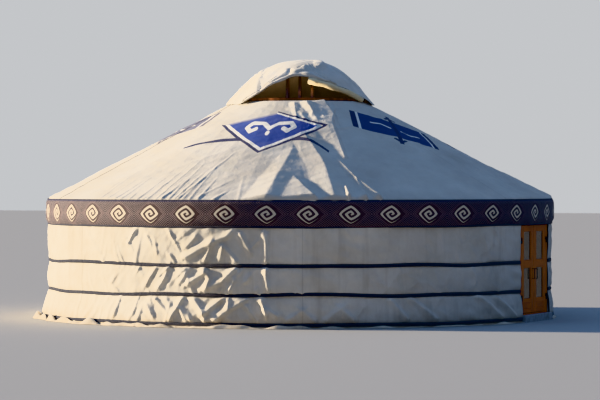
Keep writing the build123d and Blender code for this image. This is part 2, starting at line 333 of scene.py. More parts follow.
# Wool felt: pressed fibres, dull, off white with grey hairs
def feltPaint(tree):
    place = addNode(tree, "TexCoord", output="Object")
    fibres = {"Scale": 60, "Detail": 6, "Roughness": 0.75, "Distortion": 1.5}
    hair = addNode(tree, "TexNoise", {"Vector": place, **fibres})
    clouds = addNode(tree, "TexNoise", {"Vector": place, "Scale": 4, "Detail": 4})
    mixed = addNode(tree, "Math ADD", [hair, clouds])
    share = addNode(tree, "MapRange", [mixed, 0.7, 1.3])
    return layPaint(tree, "#cfc6b4", (share, "#9b9282")), noiseBump(tree, place, (fibres, 0.5, 0.003))


felt = newMaterial("pressedWoolFelt", feltPaint, Roughness=0.95, Sheen_Weight=0.3)

# Wall: one canvas over felt on each lattice section, pulled in by the girths
wallLook = {
    "top": 1.60,
    "columns": 210,
    "rows": 104,
    "lap": 0.045,  # each canvas laps over the next by this much
    "apron": 0.09,
    "bulge": 0.019,
    "bite": 0.006,
    "crossing": 0.010,
    "strongest": 182.0,  # where the crossed creases stand out most
    "foldCount": 420,
    "feltHeight": 1.56,
    "feltDepth": 0.0285,
    "feltThickness": 0.015,
    "leaning": 125,  # where the foot leans out most
    "leaningMore": 0.075,
    "warp": 0.06,
    "crossedHeights": (0.54, 0.50),
}


# Creases read off the side in view, as (path of direction and height, half width, height)
wallCreases = [
    (((178.8, 0.90), (184.8, 1.10), (188.5, 1.19)), 0.055, 0.026),
    (((183.2, 0.87), (184.8, 1.10)), 0.045, 0.020),
    (((186.7, 0.90), (187.2, 1.04)), 0.040, 0.018),
    (((187.2, 1.05), (190.1, 0.86)), 0.050, 0.026),
    (((191.1, 1.20), (193.2, 0.97)), 0.045, 0.028),
    (((196.4, 1.20), (196.5, 1.00), (196.5, 0.87)), 0.050, 0.046),
    (((193.4, 1.03), (195.0, 1.13)), 0.030, 0.012),
    (((178.8, 1.03), (181.0, 1.16)), 0.040, 0.016),
    (((179.1, 0.55), (183.0, 0.71)), 0.050, 0.024),
    (((182.7, 0.78), (184.3, 0.64), (183.6, 0.50)), 0.045, 0.024),
    (((183.0, 0.49), (187.0, 0.60), (189.8, 0.76)), 0.060, 0.028),
    (((186.7, 0.47), (187.5, 0.57)), 0.035, 0.016),
    (((188.8, 0.49), (189.6, 0.61)), 0.040, 0.022),
    (((190.8, 0.70), (191.4, 0.75)), 0.030, 0.018),
    (((192.2, 0.60), (193.0, 0.67)), 0.034, 0.022),
    (((194.4, 0.48), (194.6, 0.51)), 0.030, 0.022),
    (((196.5, 0.76), (196.6, 0.62), (197.0, 0.50)), 0.046, 0.044),
    (((175.4, 0.10), (178.0, 0.39)), 0.050, 0.024),
    (((177.4, 0.25), (180.2, 0.11)), 0.045, 0.022),
    (((180.8, 0.37), (183.0, 0.20), (183.4, 0.10)), 0.050, 0.026),
    (((183.0, 0.18), (187.2, 0.39)), 0.050, 0.026),
    (((185.9, 0.11), (188.8, 0.25), (192.4, 0.38)), 0.055, 0.028),
    (((192.4, 0.29), (194.7, 0.10)), 0.035, 0.022),
    (((195.4, 0.40), (196.6, 0.18)), 0.048, 0.046),
    (((196.6, 0.26), (198.7, 0.17)), 0.040, 0.024),
    (((188.3, 0.40), (188.5, 0.26)), 0.040, 0.020),
    (((169.0, 1.18), (170.2, 1.07)), 0.035, 0.014),
    (((171.2, 1.08), (171.6, 0.96)), 0.030, 0.012),
    (((174.8, 0.94), (175.8, 0.85)), 0.035, 0.014),
    (((168.6, 0.53), (171.4, 0.77)), 0.045, 0.018),
    (((172.0, 0.50), (174.2, 0.66)), 0.045, 0.018),
    (((177.6, 0.59), (179.6, 0.77)), 0.045, 0.020),
    (((160.6, 0.14), (161.4, 0.34)), 0.040, 0.016),
    (((169.2, 0.29), (171.2, 0.14)), 0.045, 0.020),
    (((150.3, 1.19), (155.6, 0.88)), 0.050, 0.010),
    (((159.0, 0.56), (160.6, 0.67)), 0.040, 0.012),
    (((163.0, 1.14), (165.0, 1.00)), 0.040, 0.010),
    (((201.0, 0.11), (204.0, 0.24), (206.5, 0.10)), 0.060, 0.026),
    (((209.0, 0.11), (212.0, 0.27), (215.0, 0.10)), 0.070, 0.028),
    (((226.5, 0.12), (223.0, 0.36)), 0.050, 0.026),
    (((233.5, 0.11), (227.5, 0.38)), 0.050, 0.026),
    (((252.5, 0.09), (245.0, 0.40)), 0.060, 0.030),
    (((257.5, 0.10), (250.5, 0.38)), 0.050, 0.028),
]


def flanks(points, width, narrowing):
    # a crease's two widths, the side to the left in view twice as wide as the steep one
    wide, steep = (width * 1.9, width * 1.9 * narrowing), (width * 0.9, width * 0.9 * narrowing)
    return (wide, steep) if points[-1][1] > points[0][1] else (steep, wide)


def drawWallFolds():
    # short creases that start at a girth and run off at a slant, deepest on the side in view
    draw = random.Random(11)
    levels = [*girthHeights, bandBottom - 0.01]
    creases = []
    for path, width, tall in wallCreases:
        points = [((math.radians(d) - firstHead) % (2 * math.pi) * wallRadius, z) for d, z in path]
        creases.append((points, *flanks(points, width, 0.8), (tall * 1.55, tall * 1.3)))
    span = (2 * math.pi - yurt["doorBays"] * bayAngle) * wallRadius
    for _ in range(wallLook["foldCount"]):
        s, z = draw.uniform(0, span), draw.choice(levels)
        up = 1 if z < 0.1 or (z < 1.2 and draw.random() < 0.5) else -1
        lean = math.radians(draw.uniform(32, 80))
        length = draw.uniform(0.14, 0.40)
        way = draw.choice((-1, 1))
        direction = math.degrees(s / wallRadius + firstHead) % 360
        strong = 0.55 + 1.5 * math.exp(-((direction - 171) / 14) ** 2) + 0.35 * draw.random()
        if 192 < direction < 200:
            continue  # the listed creases are alone there
        width, tall = draw.uniform(0.02, 0.05), draw.uniform(0.005, 0.012) * strong
        end = (s + way * length * math.cos(lean), z + up * length * math.sin(lean))
        creases.append(([(s, z), end], *flanks([(s, z), end], width, 0.6), (tall * 1.25, tall * 0.4)))
    return creases


def footOut(angle, z):
    # the foot leans out to the ground, most on the left of the view
    more = wallLook["leaningMore"] * facing(angle, wallLook["leaning"], 0.45)
    return (yurt["footLean"] + more) * np.clip(1 - z / yurt["footHeight"], 0, 1) ** 1.15


def wallRelief(angle, z):
    s = (angle - firstHead) * wallRadius
    x, y, _ = polar(wallRadius, angle, z)
    loose = np.clip(0.8 + 0.3 * swell(x, y, z, 0.5, 3), 0.3, 1.3)
    relief = -0.9 * facetDip(angle, wallRadius)
    levels = sorted([0.0, *girthHeights, wallLook["top"]])
    for low, high in zip(levels, levels[1:]):
        share = np.clip((z - low) / (high - low), 0, 1)
        relief += wallLook["bulge"] * loose * np.sin(math.pi * share) ** 0.7 * min(1, (high - low) / 0.3)
    for height in girthHeights:
        relief -= wallLook["bite"] * np.exp(-((z - height) / 0.028) ** 2)
    # broad crossed creases where the laths press through, warped so that none is straight
    warp, otherWarp = [wallLook["warp"] * swell(x, y, z, *field) for field in ((1.6, 5), (1.9, 6))]
    cell = bayAngle * wallRadius
    rising, falling = wallLook["crossedHeights"]
    first = tent((s + warp) / cell + (z + otherWarp) / rising) ** 2
    second = tent((s - otherWarp) / cell - (z + warp) / falling) ** 2
    near = np.exp(-((angle - math.radians(wallLook["strongest"])) / 0.2) ** 2)
    patchy = np.clip(0.25 + 0.4 * swell(x, y, z, 0.8, 8), 0, 1) + 0.35 * near
    held = np.clip(np.min([np.abs(z - h) for h in girthHeights], axis=0) / 0.045, 0.1, 1)
    relief += wallLook["crossing"] * patchy * np.maximum(first, second) * held
    relief += creaseRelief(s, z, wallFolds) * held
    relief += 0.003 * loose * swell(x, y, z * 1.4, 3.4, 9) + 0.001 * swell(x, y, z, 9, 10)
    # flat under the belt
    relief = np.minimum(relief, 0.004 + 0.25 * np.clip(1.30 - z, 0, None) + 0.012)
    return relief + footOut(angle, z)


def apron(angle, under):
    # the cloth below the hem girth turns out on the ground and lies there crumpled
    x, y, ground = polar(wallRadius, angle, 0 * angle)
    left = facing(angle, wallLook["leaning"], 0.5)
    reach = 0.045 + 0.042 * left + (0.014 + 0.022 * left) * swell(x, y, ground, 1.3, 71)
    rise = 0.018 + 0.030 * left + 0.012 * swell(x, y, ground, 2.3, 72) + 0.026 * left * swell(x, y, ground, 3.1, 73)
    share = np.clip(under, 0, 1)
    return reach * share, np.clip(rise * np.sin(math.pi * np.clip(share * 1.1, 0, 1)), 0, None)


wallFolds = drawWallFolds()


def wallSpan(index):
    # from one section's seam to the next, ending at the jambs beside the door
    start = firstHead + index * yurt["sectionBays"] * bayAngle
    end = start + yurt["sectionBays"] * bayAngle
    jamb = math.asin((frameHigh.x + 0.0015) / wallRadius)
    if index == 0:
        start = -math.pi / 2 + jamb
    if index == yurt["sections"] - 1:
        return start, 1.5 * math.pi - jamb
    return start, end + wallLook["lap"] / wallRadius


def makeWalls():
    canvas = newMaterial("cottonCanvasWall", wallPaint, **canvasLook["finish"])
    for index in range(yurt["sections"]):
        start, end = wallSpan(index)
        width, height = (end - start) * wallRadius, wallLook["top"] + wallLook["apron"]
        lapHeight = 0 if index == yurt["sections"] - 1 else 0.003

        def place(across, up):
            along = up * height - wallLook["apron"]
            angle, z = start + (end - start) * across, np.maximum(along, 0.004)
            lap = np.clip(1 - (1 - across) * width / 0.06, 0, 1) * lapHeight
            out, rise = apron(angle, -along / wallLook["apron"])
            return polar(wallRadius + wallRelief(angle, z) + lap + out, angle, z + rise)

        sheet = makeSheet(f"wall_canvas_{index + 1}", wallLook["columns"], wallLook["rows"], (width, height), place)
        dress(sheet, canvas, stands=[f"wall_cover_{index + 1}"])

        def placeFelt(across, up):
            angle, z = start + (end - start) * across, 0.012 + wallLook["feltHeight"] * up
            radius = wallRadius - wallLook["feltDepth"] - facetDip(angle, wallRadius)
            radius += yurt["footLean"] * np.clip(1 - z / yurt["footHeight"], 0, 1)
            return polar(radius + 0.0012 * swell(*polar(radius, angle, z), 5, 21), angle, z)

        layer = makeSheet(f"wall_felt_{index + 1}", 72, 26, (width, wallLook["feltHeight"]), placeFelt)
        dress(layer, felt)
        thicken(layer, wallLook["feltThickness"])


makeWalls()
print("walls done")

# Eave: a vertical face, a rounded shoulder and the start of the slope
eaveShape = {"shoulder": 0.10, "tuckedIn": 0.036, "tuckHeight": 0.11}
shoulderTurn = math.pi / 2 - slope
shoulderTangent = eaveShape["shoulder"] * math.tan(shoulderTurn / 2)
shoulderStart = yurt["eaveHeight"] - shoulderTangent - bandBottom
slopeStart = shoulderStart + eaveShape["shoulder"] * shoulderTurn


def eaveProfile(distance):
    # radius, height and outward direction at a distance up from the band's bottom edge
    turn = np.clip((distance - shoulderStart) / eaveShape["shoulder"], 0, shoulderTurn)
    rising = np.minimum(distance, shoulderStart)
    climbing = np.maximum(distance - slopeStart, 0)
    outR, outZ = np.cos(turn), np.sin(turn)
    tuck = eaveShape["tuckedIn"] * np.clip(1 - distance / eaveShape["tuckHeight"], 0, 1) ** 2
    radius = bandRadius - eaveShape["shoulder"] * (1 - outR) - climbing * math.cos(slope) - tuck
    height = bandBottom + rising + eaveShape["shoulder"] * outZ + climbing * math.sin(slope)
    return radius, height, outR, outZ


# Roof ornaments: three kites and three crossed bands by turns, with a horn scroll in each kite
ornament = {
    "count": 3,
    "kite": {"direction": 189.6, "radius": 1.615, "tilt": 0.064, "side": 0.785, "top": 0.45, "bottom": 0.80,
             "depth": 0.46},
    # three bands, each with its direction, its tilt and how far its print is faded toward the canvas; on the sunlit
    # side the fade is painted sunlight
    "bands": ((253.0, -35.0, 0.0), (124.5, 36.0, 0.25), (9.6, -35.0, 0.2)),
    # half sizes in metres, then how far in from its ends the white line and the blue field start
    "band": {"radius": 1.71, "long": 0.60, "wide": 0.29, "line": 0.070, "field": 0.105},
    "bar": {"half": 0.030, "end": 0.50, "fork": [((0.0, 0.44), (0.07, 0.36))], "forkWidth": 0.024},
    # swags hang from the kite's lower sides, thinner towards their ends
    "swag": {"start": 0.3, "bottom": 0.35, "drop": 0.39, "bendRight": 1.1, "bendLeft": 0.38, "left": -1.20,
             "right": 0.94, "thinning": (0.45, 1.3, 0.050, 0.014)},
    "outline": 0.042,
    "line": 0.088,
    "blue": "#0a409a",
    "wornBlue": "#2b59ae",
    "bandBlue": "#052c70",
    "navy": "#061a55",
    "white": "#f2ede2",
    "scroll": [((0.0, -0.10), (0.10, 0.05)), ((0.10, 0.05), (0.26, 0.07)), ((0.26, 0.07), (0.33, -0.06)),
               ((0.33, -0.06), (0.26, -0.17)), ((0.26, -0.17), (0.19, -0.10)), ((0.0, -0.24), (0.0, -0.22))],
    "scrollWidth": 0.028,
    "curl": [((-0.34, 0.05), (-0.20, 0.09)), ((-0.20, 0.09), (-0.08, 0.03)), ((0.34, -0.05), (0.20, -0.09)),
             ((0.20, -0.09), (0.08, -0.03))],
    "curlWidth": 0.022,
}


def strokeMask(tree, point, strokes, width):
    # 1 within a distance of the nearest of several straight strokes
    distances = []
    for start, end in strokes:
        way = Vector((end[0] - start[0], end[1] - start[1], 0))
        rel = addNode(tree, "VectorMath SUBTRACT", [point, (*start, 0)])
        dot = addNode(tree, "VectorMath DOT_PRODUCT", [rel, tuple(way / way.length_squared)], output="Value")
        foot = addNode(tree, "VectorMath SCALE", {0: tuple(way), "Scale": addNode(tree, "Clamp", [dot])})
        distances.append(addNode(tree, "VectorMath DISTANCE", [rel, foot], output="Value"))
    nearest = distances[0]
    for distance in distances[1:]:
        nearest = addNode(tree, "Math MINIMUM", [nearest, distance])
    return allOf(tree, (nearest, "<", width))


def ornamentPlane(tree, angle, radius, direction, middle, count):
    # flat coordinates in metres about the nearest one's middle: across to the right, up the slope
    turned = addNode(tree, "Math SUBTRACT", [angle, math.radians(direction) - 4 * math.pi])
    nearest = addNode(tree, "Math WRAP", [turned, math.pi / count, -math.pi / count])
    across = addNode(tree, "Math MULTIPLY", [nearest, radius])
    up = addNode(tree, "Math MULTIPLY_ADD", [radius, -1 / math.cos(slope), middle / math.cos(slope)])
    return across, up


def printKite(tree, colour, angle, radius):
    size, hung = ornament["kite"], ornament["swag"]
    across, up = ornamentPlane(tree, angle, radius, size["direction"], size["radius"], ornament["count"])
    level = addNode(tree, "Math MULTIPLY_ADD", [across, size["tilt"], up])
    sideways = addNode(tree, "Math ABSOLUTE", [across])
    above = addNode(tree, "Math MULTIPLY", [level, 1 / size["top"]])
    below = addNode(tree, "Math MULTIPLY", [level, -1 / size["bottom"]])
    upright = addNode(tree, "Math MAXIMUM", [above, below])
    share = addNode(tree, "Math MULTIPLY_ADD", [sideways, 1 / size["side"], upright])
    inside = addNode(tree, "Math MULTIPLY_ADD", [share, -size["depth"], size["depth"]])
    # the upper left side has no border, and its blue fades out
    bare = allOf(tree, (across, "<", 0.0), (level, ">", 0.0))
    bordered = addNode(tree, "Math SUBTRACT", [1.0, bare])
    border = allOf(tree, (inside, ">", 0.0), bordered)
    line = allOf(tree, (inside, ">", ornament["outline"]), bordered)
    sharp = allOf(tree, (inside, ">", ornament["line"]))
    soft = addNode(tree, "MapRange", [inside, 0.03, 0.12])
    field = addNode(tree, "Mix", {0: bare, 2: sharp, 3: soft})
    fromBottom = addNode(tree, "Math SUBTRACT", [sideways, hung["bottom"]])
    curve = addNode(tree, "Math MULTIPLY", [fromBottom, fromBottom])
    bend = addNode(tree, "Mix", {0: allOf(tree, (across, "<", 0.0)), 2: hung["bendRight"], 3: hung["bendLeft"]})
    hanging = addNode(tree, "Math MULTIPLY_ADD", [curve, bend, hung["drop"]])
    off = addNode(tree, "Math ABSOLUTE", [addNode(tree, "Math ADD", [up, hanging])])
    width = addNode(tree, "MapRange", [sideways, *hung["thinning"]])
    swag = allOf(tree, (off, "<", width), (sideways, ">", hung["start"]), (across, "<", hung["right"]),
                 (across, ">", hung["left"]))
    # the scroll is mirrored, with strokes twice as thick up the slope as across it
    flatter = addNode(tree, "VectorMath MULTIPLY", [addNode(tree, "CombineXYZ", [sideways, up, 0.0]), (1.0, 0.5, 0.0)])
    strokes = [((a[0], a[1] / 2), (b[0], b[1] / 2)) for a, b in ornament["scroll"]]
    figure = allOf(tree, strokeMask(tree, flatter, strokes, ornament["scrollWidth"]), field)
    # worn to a lighter blue in patches
    wear = patches(tree, addNode(tree, "TexCoord", output="Object"), 14, 5, 0.45, 0.8, 0.4, rough=0.7)
    blue = layPaint(tree, ornament["blue"], (wear, ornament["wornBlue"]))
    return layPaint(tree, colour, (swag, ornament["navy"]), (border, ornament["navy"]), (line, ornament["white"]),
                    (field, blue), (figure, ornament["white"]))


def printBand(tree, colour, angle, radius, direction, tilt, fadedShare):
    size, bar = ornament["band"], ornament["bar"]
    across, up = ornamentPlane(tree, angle, radius, direction, size["radius"], 1)
    point = addNode(tree, "CombineXYZ", [across, up, 0.0])
    turned = addNode(tree, "VectorRotate", {"Vector": point, "Angle": -math.radians(tilt)}, rotation_type="Z_AXIS")
    folded = addNode(tree, "VectorMath ABSOLUTE", [turned])
    along, aside, _ = addNode(tree, "SeparateXYZ", [folded]).node.outputs
    left = addNode(tree, "Math SUBTRACT", [size["long"], along])
    within = allOf(tree, (left, ">", 0.0), (aside, "<", size["wide"]))
    line = allOf(tree, (left, ">", size["line"]), within)
    field = allOf(tree, (left, ">", size["field"]), within)
    curls = allOf(tree, strokeMask(tree, turned, ornament["curl"], ornament["curlWidth"]), field)
    # a navy bar with forked ends crosses its middle
    crossing = allOf(tree, (along, "<", bar["half"]), (aside, "<", bar["end"]))
    fork = strokeMask(tree, folded, bar["fork"], bar["forkWidth"])
    navy, white = ornament["navy"], ornament["white"]
    printed = layPaint(tree, colour, (within, navy), (line, white), (field, ornament["bandBlue"]), (curls, white),
                       (crossing, navy), (fork, navy))
    # the print faded toward the canvas colour, on the sunlit side as painted sunlight
    return layPaint(tree, printed, (fadedShare, colour))


def roofPaint(tree):
    place = addNode(tree, "TexCoord", output="Object")
    radius, angle, _ = roundPlace(tree, place)
    # rain and smoke have greyed it more than the wall
    colour = layPaint(tree, canvasColour(tree, place), (0.30, canvasLook["smoke"]))
    colour = printKite(tree, colour, angle, radius)
    for direction, tilt, fadedShare in ornament["bands"]:
        colour = printBand(tree, colour, angle, radius, direction, tilt, fadedShare)
    # the sewn lines carry painted shadow of the turned edges
    return layPaint(tree, colour, (stitchesAndPaintedShadow(tree), canvasLook["threadAndShadow"])), canvasNormal(tree, place)


# Roof: three canvases over felt, with folds that run up from the eave
roofLook = {
    "columns": 420,
    "rows": 110,
    "lap": 0.04,
    "under": 0.014,  # the canvas lies this far under the belt
    "beltEdge": 0.024,
    "facet": 1.3,
    "feltDepth": 0.028,
    "feltThickness": 0.009,
    "overFelt": 0.008,
    "crumple": 0.012,
}
# Folds read off, from the eave up, as (path of direction and distance up the slope, widths to the left,
# widths to the right, heights), each pair at the foot and at the top
roofFolds = [
    (((196.2, 0.0), (201.0, 1.50)), (0.34, 0.10), (0.60, 0.06), (0.066, 0.008)),
    (((206.8, 0.0), (202.1, 0.66)), (0.60, 0.03), (0.07, 0.02), (0.090, 0.006)),
    (((210.7, 0.0), (210.4, 0.98), (207.1, 1.70)), (0.27, 0.22), (0.46, 0.10), (0.060, 0.026)),
    (((220.8, 0.0), (217.4, 0.61), (214.6, 1.18)), (0.11, 0.06), (0.06, 0.02), (0.070, 0.022)),
    (((217.6, 0.0), (217.2, 0.60)), (0.13, 0.03), (0.04, 0.02), (0.070, 0.010)),
    (((213.9, 0.0), (213.9, 0.30)), (0.07, 0.04), (0.03, 0.02), (0.060, 0.044)),
    (((217.3, 1.20), (218.3, 1.77), (219.2, 2.19), (222.6, 2.42), (221.6, 2.86)), (0.06, 0.46), (0.05, 0.06),
     (0.026, 0.056)),
    (((206.0, 2.36), (203.0, 2.60), (196.0, 2.66)), (0.05, 0.05), (0.10, 0.08), (0.016, 0.010)),
    (((201.5, 2.42), (199.0, 2.84)), (0.05, 0.08), (0.05, 0.08), (0.012, 0.020)),
    (((212.1, 2.34), (208.0, 2.84)), (0.05, 0.09), (0.06, 0.08), (0.014, 0.024)),
    (((220.9, 2.06), (226.0, 2.12), (232.2, 2.21)), (0.05, 0.04), (0.04, 0.03), (0.020, 0.008)),
    (((184.5, 0.0), (187.2, 0.30)), (0.05, 0.02), (0.04, 0.014), (0.020, 0.004)),
    (((181.0, 0.10), (187.0, 0.62)), (0.05, 0.02), (0.03, 0.014), (0.010, 0.003)),
    (((190.6, 0.0), (188.9, 0.70)), (0.04, 0.02), (0.03, 0.014), (0.006, 0.002)),
    (((179.3, 0.90), (181.5, 1.36)), (0.034, 0.020), (0.034, 0.020), (0.007, 0.003)),
    (((267.0, 0.0), (262.0, 1.61)), (0.020, 0.020), (0.020, 0.020), (0.012, 0.009)),
    (((176.4, 0.0), (178.4, 0.60), (179.6, 1.10)), (0.034, 0.014), (0.034, 0.014), (0.014, 0.002)),
    (((172.2, 0.0), (175.4, 0.74)), (0.030, 0.014), (0.034, 0.014), (0.012, 0.002)),
    (((167.5, 0.0), (170.0, 0.66)), (0.030, 0.014), (0.030, 0.014), (0.010, 0.002)),
    (((326.0, 0.0), (330.0, 1.50)), (0.16, 0.03), (0.40, 0.04), (0.046, 0.006)),
    (((336.0, 0.0), (332.0, 0.70)), (0.30, 0.02), (0.10, 0.02), (0.044, 0.006)),
    (((47.0, 0.0), (42.0, 1.40)), (0.36, 0.04), (0.14, 0.03), (0.046, 0.006)),
    (((52.5, 0.0), (50.0, 0.90)), (0.10, 0.02), (0.20, 0.02), (0.032, 0.004)),
    (((106.0, 0.0), (110.0, 1.20)), (0.14, 0.03), (0.34, 0.04), (0.040, 0.006)),
    (((288.0, 0.0), (285.0, 1.00)), (0.24, 0.03), (0.10, 0.02), (0.030, 0.004)),
]


def slopePlane(direction, distance):
    # the cone rolled out flat, so that a fold keeps its width in metres
    turn = ((direction - math.radians(210) + math.pi) % (2 * math.pi) - math.pi) * math.cos(slope)
    reach = bandRadius / math.cos(slope) - distance
    return reach * np.sin(turn), bandRadius / math.cos(slope) - reach * np.cos(turn)


def drawEaveFolds():
    draw = random.Random(23)
    folds, direction = [], 0.0
    while direction < 360:
        near = math.exp(-((direction - 176) / 26) ** 2)
        length, lean = draw.uniform(0.25, 0.7 + 0.5 * near), draw.uniform(-2.2, 2.2) * (1 - 0.4 * near)
        tall = draw.uniform(0.003, 0.006) + near * draw.uniform(0.005, 0.011)
        width = draw.uniform(0.020, 0.036)
        if not 182 < direction < 213:
            folds.append((((direction, 0.0), (direction + lean, length)), (width, 0.014), (width, 0.014),
                          (tall, tall * 0.2)))
        direction += draw.uniform(1.3, 4.4 - 1.8 * near)
    return folds


def rolledFolds():
    made = []
    for path, left, right, height in [*roofFolds, *drawEaveFolds()]:
        points = [tuple(float(v) for v in slopePlane(math.radians(d), s)) for d, s in path]
        made.append((points, left, right, height))
    return made


roofCreases = rolledFolds()


def roofRelief(angle, s, radius):
    x, y, z = radius * np.cos(angle), radius * np.sin(angle), s
    relief = -roofLook["facet"] * facetDip(angle, radius) * math.sin(slope)
    flatX, flatY = slopePlane(angle, s)
    relief += creaseRelief(flatX, flatY, roofCreases)
    # crumpled patches, strongest below the crown on the side in view
    turn = np.degrees(angle) % 360
    crumple = np.exp(-((turn - 211) / 9) ** 2 - ((s - 2.4) / 0.5) ** 2) + 0.10
    warp = 0.1 * swell(x, y, z, 1.8, 31)
    first = tent((x + warp) / 0.31 + (y - warp) / 0.42)
    second = tent((x - warp) / 0.45 - (y + warp) / 0.27 + z)
    relief += roofLook["crumple"] * crumple * np.maximum(first, second) ** 1.5
    relief += 0.004 * swell(x, y, z, 0.9, 33) + 0.0015 * swell(x, y, z, 4, 34)
    return relief


def feltLimit(angle, radius):
    # how far down the roof canvas may go before it meets the felt
    return -roofLook["overFelt"] - roofLook["facet"] * facetDip(angle, radius) * math.sin(slope)


def makeRoof():
    canvas = newMaterial("cottonCanvasRoof", roofPaint, **canvasLook["finish"])
    slopeEnd = slopeStart + (bandRadius - roofTopRadius) / math.cos(slope) - shoulderTangent
    sweep = yurt["goreBays"] * bayAngle
    feltFoot, feltEnd = wallRadius - 0.01, roofTopRadius + 0.01
    for index in range(yurt["gores"]):
        start = firstHead + yurt["roofLapBay"] * bayAngle + index * sweep
        end = start + sweep + roofLook["lap"] / bandRadius
        size = ((end - start) * bandRadius, slopeEnd - shoulderStart)

        def place(across, up):
            angle = start + (end - start) * across
            distance = shoulderStart + (slopeEnd - shoulderStart) * up
            radius, height, outR, outZ = eaveProfile(distance)
            s = np.maximum(distance - slopeStart + shoulderTangent, 0)
            clear = np.clip((s - roofLook["beltEdge"]) / 0.04, 0, 1)
            held = clear * (2 - clear) * np.clip((slopeEnd - distance) / 0.1, 0.1, 1)
            lap = np.clip(1 - (1 - across) * (end - start) * radius / 0.05, 0, 1) * 0.005
            relief = np.maximum(roofRelief(angle, s, radius), feltLimit(angle, radius))
            off = relief * held - roofLook["under"] * (1 - 0.7 * clear) + lap
            return polar(radius + off * outR, angle, height + off * outZ)

        sheet = makeSheet(f"roof_canvas_{index + 1}", roofLook["columns"], roofLook["rows"], size, place)
        dress(sheet, canvas, stands=[f"roof_cover_{index + 1}"])

        def placeFelt(across, up):
            angle = start + sweep * across
            radius = feltFoot + (feltEnd - feltFoot) * up
            height = yurt["eaveHeight"] + (bandRadius - radius) * math.tan(slope)
            off = -roofLook["feltDepth"] - facetDip(angle, radius) * math.sin(slope)
            return polar(radius + off * math.sin(slope), angle, height + off * math.cos(slope))

        layer = makeSheet(f"roof_felt_{index + 1}", 114, 28, size, placeFelt)
        dress(layer, felt)
        thicken(layer, roofLook["feltThickness"])


makeRoof()
print("roof done")

# Belt: printed cotton sewn over the turned-down felt edge, with a dark cord along each edge
belt = {
    "pieces": 4,
    "motifs": 41,
    "first": 205.35,
    "flatter": 0.74,  # a motif is this many times as tall as wide
    "halfHeight": 0.19,
    "coreRadius": 0.116,
    "softness": 1.25,
    "turn": 0.060,  # the spiral grows by this much a turn
    "stripe": 0.52,  # share of a turn that is bright
    "lineStep": 0.125,
    "line": 0.048,
    "gap": 0.02,
    "outside": 0.97,
    "ground": "#4f3d42",
    "shadow": "#191526",
    "dim": "#8c7c80",
    "bright": "#e2d7c5",
    "topBorder": "#2d2c4e",
    "bottomBorder": "#59323c",
    "columns": 560,
    "rows": 40,
    "hem": 0.024,
    "border": 0.155,
    "lap": 0.004,
    "wave": 0.003,
    "sag": 0.012,
    "cord": (0.022, 0.030),
    "topCord": 0.010,
    "cordSteps": 720,
}
beltTop = shoulderStart + 0.072


def beltPaint(tree):
    uv = addNode(tree, "UVMap", uv_map="UVMap")
    x, y, _ = addNode(tree, "SeparateXYZ", [uv]).node.outputs
    pitch = 2 * math.pi * bandRadius / belt["motifs"]
    middle = (yurt["eaveHeight"] - bandBottom) / 2 + belt["hem"]
    offset = addNode(tree, "Math SUBTRACT", [x, math.radians(belt["first"]) * bandRadius % pitch])
    across = addNode(tree, "Math WRAP", [offset, pitch / 2, -pitch / 2])
    up = addNode(tree, "Math SUBTRACT", [y, middle])
    flattened = addNode(tree, "Math MULTIPLY", [across, belt["flatter"]])
    sideways, upright, narrow = [addNode(tree, "Math ABSOLUTE", [v]) for v in (across, up, flattened)]
    # between a diamond and a circle
    softened = [addNode(tree, "Math POWER", [v, belt["softness"]]) for v in (narrow, upright)]
    total = addNode(tree, "Math ADD", softened)
    core = addNode(tree, "Math POWER", [total, 1 / belt["softness"]])
    # the spiral: rings of a diamond that step outwards with the turn
    turned = addNode(tree, "Math ARCTAN2", [up, flattened])
    grown = addNode(tree, "Math MULTIPLY_ADD", [turned, -belt["turn"] / (2 * math.pi), core])
    ring = addNode(tree, "Math WRAP", [grown, 0.0, belt["turn"]])
    spiral = allOf(tree, (ring, "<", belt["turn"] * belt["stripe"]), (core, "<", belt["coreRadius"]))
    # thin diamonds round it, as wide as the pitch
    height = addNode(tree, "Math MULTIPLY", [upright, 1 / belt["halfHeight"]])
    around = addNode(tree, "Math MULTIPLY_ADD", [sideways, 2 / pitch, height])
    lines = addNode(tree, "Math MODULO", [around, belt["lineStep"]])
    thin = allOf(tree, (lines, "<", belt["line"]), (core, ">", belt["coreRadius"] + belt["gap"]))
    outside = allOf(tree, (around, ">", belt["outside"]))
    topBand = allOf(tree, (up, ">", belt["border"]))
    bottomBand = allOf(tree, (up, "<", -belt["border"]))
    worn = patches(tree, uv, 22, 5, 0.35, 0.75, 0.5, rough=0.7)
    colour = layPaint(tree, belt["ground"], (worn, belt["shadow"]), (outside, belt["shadow"]), (thin, belt["dim"]),
                      (topBand, belt["topBorder"]), (bottomBand, belt["bottomBorder"]), (spiral, belt["bright"]))
    return colour, noiseBump(tree, uv, ({"Scale": 11, "Detail": 3}, 0.3, 0.02),
                             ({"Scale": 240, "Detail": 2}, 0.25, 0.001))


def beltSag(angle):
    # the lower edge waves and hangs lower in view, but keeps clear of the door
    wave = belt["wave"] * swell(*polar(3.5, angle, 0 * angle), 0.5, 44)
    sag = belt["sag"] * facing(angle, yurt["viewDirection"], 0.9)
    beside = np.arccos(np.clip(np.cos(angle - math.radians(yurt["doorDirection"])), -1, 1))
    return (wave - sag) * np.clip((beside - 0.33) / 0.28, 0, 1)


def beltRelief(angle, distance):
    x, y, s = polar(bandRadius, angle, distance)
    loose = np.clip(1 - s / shoulderStart, 0, 1)
    waves = 0.0045 * swell(x, y, s, 0.9, 41) + 0.0025 * swell(x, y, s * 2, 3.2, 42)
    puckers = np.sin(angle * 156 + 2 * swell(x, y, s, 0.7, 43)) * np.exp(-((s - slopeStart) / 0.06) ** 2)
    return waves * (0.35 + 0.65 * loose) + 0.002 * puckers - 0.003


